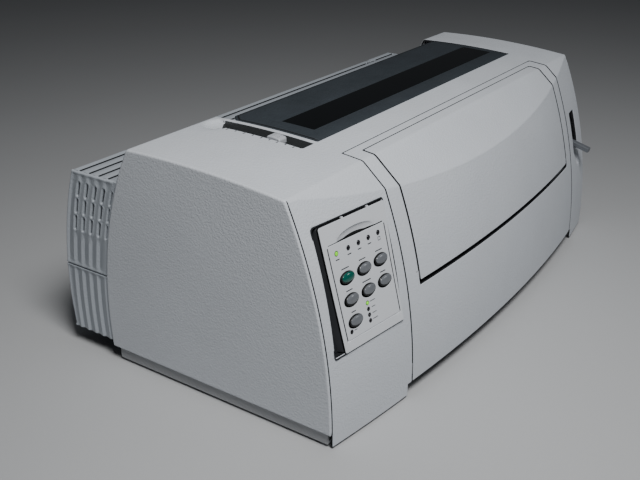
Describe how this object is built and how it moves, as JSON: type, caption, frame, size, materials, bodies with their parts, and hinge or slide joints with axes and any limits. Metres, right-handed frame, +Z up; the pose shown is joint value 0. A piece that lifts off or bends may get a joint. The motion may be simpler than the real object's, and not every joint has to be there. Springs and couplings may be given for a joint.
{
  "type": "dot matrix printer",
  "caption": "Wide desk printer striking dots through a ribbon: bowed front cover with sheet door, windowed lid, slotted rear hood, keypad, levers, platen and paper tractors.",
  "frame": {"origin": "middle of the footprint, on the surface the rubber feet stand on", "axes": "+X towards the printer's right-hand side, +Y towards the rear hood, +Z up; the operator stands on the -Y side"},
  "size_m": [0.601, 0.341, 0.2298],
  "materials": {
    "case": "fine leathery grain",
    "dark_lid": "fine leathery grain",
    "smoke_window": "polished",
    "panel": "fine satin",
    "key_grey": "glossy",
    "key_green": "glossy",
    "led_on": "glossy",
    "led_off": "glossy",
    "lever": "satin",
    "lever_dark": "satin",
    "black_plastic": "satin",
    "grey_plastic": "satin",
    "nylon": "natural",
    "blue_plastic": "satin",
    "rubber": "matt",
    "steel_sheet": "zinc plated",
    "ground_steel": "ground",
    "motor_can": "satin",
    "brass": "turned",
    "alloy": "cast",
    "board": "lacquered"
  },
  "bodies": {
    "base": {"base_pan": "case", "feet": "rubber", "top_case": "case", "left_side_panel": "case", "right_side_panel": "case", "rear_cover": "case", "operator_panel": "panel", "panel_board": "board", "leds_lit": "led_on", "leds_dark": "led_off", "left_side_frame": "steel_sheet", "right_side_frame": "steel_sheet", "platen_bearings": "nylon", "feed_motor": "motor_can", "tractor_rod": "ground_steel", "carriage_shaft": "ground_steel", "carriage_rail": "steel_sheet", "drive_belt": "rubber", "carriage_motor": "motor_can", "paper_guide": "steel_sheet", "power_supply": "steel_sheet", "main_board": "board", "power_inlet": "black_plastic", "data_connectors": "alloy", "screws": "steel_sheet"},
    "front_cover": {"front_cover": "case"},
    "sheet_door": {"sheet_door": "case"},
    "access_lid": {"access_lid": "dark_lid", "lid_window": "smoke_window"},
    "rear_hood": {"rear_hood": "case"},
    "thickness_lever": {"thickness_lever": "lever"},
    "select_lever": {"select_lever": "lever_dark"},
    "platen": {"platen": "rubber", "platen_shaft": "ground_steel", "platen_gear": "nylon", "platen_knob": "grey_plastic"},
    "feed_idler": {"feed_idler_gear": "nylon"},
    "motor_pinion": {"motor_pinion": "brass"},
    "tractor_idler": {"tractor_idler_gear": "nylon"},
    "tractor_drive": {"tractor_gear": "nylon", "tractor_shaft": "ground_steel"},
    "pressure_rollers": {"pressure_rollers": "rubber"},
    "left_tractor": {"left_tractor": "grey_plastic"},
    "right_tractor": {"right_tractor": "grey_plastic"},
    "left_tractor_flap": {"left_tractor_flap": "grey_plastic"},
    "right_tractor_flap": {"right_tractor_flap": "grey_plastic"},
    "carriage": {"carriage": "black_plastic", "print_head": "alloy", "ribbon_cartridge": "black_plastic"},
    "ribbon_knob": {"ribbon_knob": "blue_plastic"},
    "drive_pulley": {"drive_pulley": "brass"},
    "idler_pulley": {"idler_pulley": "nylon"},
    "power_switch": {"power_switch": "black_plastic"},
    "key_start": {"key_start": "key_green"},
    "key_line_feed": {"key_line_feed": "key_grey"},
    "key_form_feed": {"key_form_feed": "key_grey"},
    "key_tear_off": {"key_tear_off": "key_grey"},
    "key_load": {"key_load": "key_grey"},
    "key_tractor": {"key_tractor": "key_grey"},
    "key_font": {"key_font": "key_grey"}
  },
  "joints": [
    {"name": "front_cover_hinge", "type": "hinge", "parent": "base", "child": "front_cover", "pos_m": [0, -0.1485, 0.028], "axis": [1, 0, 0], "range_deg": [0, 85]},
    {"name": "sheet_door_hinge", "type": "hinge", "parent": "front_cover", "child": "sheet_door", "pos_m": [0, -0.1455, 0.114], "axis": [1, 0, 0], "range_deg": [0, 70]},
    {"name": "access_lid_hinge", "type": "hinge", "parent": "base", "child": "access_lid", "pos_m": [0, 0.0525, 0.222], "axis": [-1, 0, 0], "range_deg": [0, 98]},
    {"name": "rear_hood_hinge", "type": "hinge", "parent": "base", "child": "rear_hood", "pos_m": [0, 0.1665, 0.093], "axis": [-1, 0, 0], "range_deg": [0, 75]},
    {"name": "thickness_lever_pivot", "type": "hinge", "parent": "base", "child": "thickness_lever", "pos_m": [0, 0.0015, 0.112], "axis": [1, 0, 0], "range_deg": [-27, 10.5]},
    {"name": "select_lever_pivot", "type": "hinge", "parent": "base", "child": "select_lever", "pos_m": [0, -0.0925, 0.134], "axis": [-1, 0, 0], "range_deg": [-14, 33]},
    {"name": "platen_spin", "type": "hinge", "parent": "base", "child": "platen", "pos_m": [0, 0.0035, 0.16], "axis": [1, 0, 0], "continuous": true},
    {"name": "feed_idler_spin", "type": "hinge", "parent": "base", "child": "feed_idler", "pos_m": [0, 0.01898, 0.11988], "axis": [1, 0, 0], "continuous": true},
    {"name": "motor_pinion_spin", "type": "hinge", "parent": "base", "child": "motor_pinion", "pos_m": [0, 0.02834, 0.09563], "axis": [1, 0, 0], "continuous": true},
    {"name": "tractor_idler_spin", "type": "hinge", "parent": "base", "child": "tractor_idler", "pos_m": [0, -0.04659, 0.12883], "axis": [1, 0, 0], "continuous": true},
    {"name": "tractor_drive_spin", "type": "hinge", "parent": "base", "child": "tractor_drive", "pos_m": [0, -0.0865, 0.104], "axis": [1, 0, 0], "continuous": true},
    {"name": "pressure_roller_spin", "type": "hinge", "parent": "base", "child": "pressure_rollers", "pos_m": [0, -0.0045, 0.1381], "axis": [1, 0, 0], "continuous": true},
    {"name": "left_tractor_slide", "type": "slide", "parent": "base", "child": "left_tractor", "axis": [1, 0, 0], "range_m": [0, 0.04]},
    {"name": "right_tractor_slide", "type": "slide", "parent": "base", "child": "right_tractor", "axis": [1, 0, 0], "range_m": [-0.12, 0]},
    {"name": "left_flap_hinge", "type": "hinge", "parent": "left_tractor", "child": "left_tractor_flap", "pos_m": [-0.1571, -0.097, 0.08], "axis": [0, 0, -1], "range_deg": [0, 100]},
    {"name": "right_flap_hinge", "type": "hinge", "parent": "right_tractor", "child": "right_tractor_flap", "pos_m": [0.1741, -0.097, 0.08], "axis": [0, 0, 1], "range_deg": [0, 100]},
    {"name": "carriage_slide", "type": "slide", "parent": "base", "child": "carriage", "axis": [1, 0, 0], "range_m": [0, 0.32]},
    {"name": "ribbon_knob_spin", "type": "hinge", "parent": "carriage", "child": "ribbon_knob", "pos_m": [-0.1245, -0.0545, 0.185], "axis": [0, 0, 1], "continuous": true},
    {"name": "drive_pulley_spin", "type": "hinge", "parent": "base", "child": "drive_pulley", "pos_m": [-0.1985, -0.0845, 0.118], "axis": [0, 0, 1], "range_deg": [-2350, 10]},
    {"name": "idler_pulley_spin", "type": "hinge", "parent": "base", "child": "idler_pulley", "pos_m": [0.1975, -0.0845, 0.118], "axis": [0, 0, 1], "range_deg": [-2350, 10]},
    {"name": "power_switch_rock", "type": "hinge", "parent": "base", "child": "power_switch", "pos_m": [0.286, 0.0745, 0.053], "axis": [0, 0, 1], "range_deg": [0, 12]},
    {"name": "key_start_press", "type": "slide", "parent": "base", "child": "key_start", "axis": [0.1248, 0.9605, -0.2487], "range_m": [0, 0.0015], "stiffness_N_per_m": 400, "springref_m": -0.002},
    {"name": "key_line_feed_press", "type": "slide", "parent": "base", "child": "key_line_feed", "axis": [0.1248, 0.9605, -0.2487], "range_m": [0, 0.0015], "stiffness_N_per_m": 400, "springref_m": -0.002},
    {"name": "key_form_feed_press", "type": "slide", "parent": "base", "child": "key_form_feed", "axis": [0.1248, 0.9605, -0.2487], "range_m": [0, 0.0015], "stiffness_N_per_m": 400, "springref_m": -0.002},
    {"name": "key_tear_off_press", "type": "slide", "parent": "base", "child": "key_tear_off", "axis": [0.1248, 0.9605, -0.2487], "range_m": [0, 0.0015], "stiffness_N_per_m": 400, "springref_m": -0.002},
    {"name": "key_load_press", "type": "slide", "parent": "base", "child": "key_load", "axis": [0.1248, 0.9605, -0.2487], "range_m": [0, 0.0015], "stiffness_N_per_m": 400, "springref_m": -0.002},
    {"name": "key_tractor_press", "type": "slide", "parent": "base", "child": "key_tractor", "axis": [0.1248, 0.9605, -0.2487], "range_m": [0, 0.0015], "stiffness_N_per_m": 400, "springref_m": -0.002},
    {"name": "key_font_press", "type": "slide", "parent": "base", "child": "key_font", "axis": [0.1248, 0.9605, -0.2487], "range_m": [0, 0.0015], "stiffness_N_per_m": 400, "springref_m": -0.002}
  ],
  "couplings": [
    {"joint": "feed_idler_spin", "follows": "platen_spin", "ratio": -1.2632},
    {"joint": "motor_pinion_spin", "follows": "platen_spin", "ratio": 3.4286},
    {"joint": "tractor_idler_spin", "follows": "platen_spin", "ratio": -0.68571},
    {"joint": "tractor_drive_spin", "follows": "platen_spin", "ratio": 2},
    {"joint": "pressure_roller_spin", "follows": "platen_spin", "ratio": -2.8814},
    {"joint": "drive_pulley_spin", "follows": "carriage_slide", "rad_per_m": -125},
    {"joint": "idler_pulley_spin", "follows": "carriage_slide", "rad_per_m": -125}
  ]
}
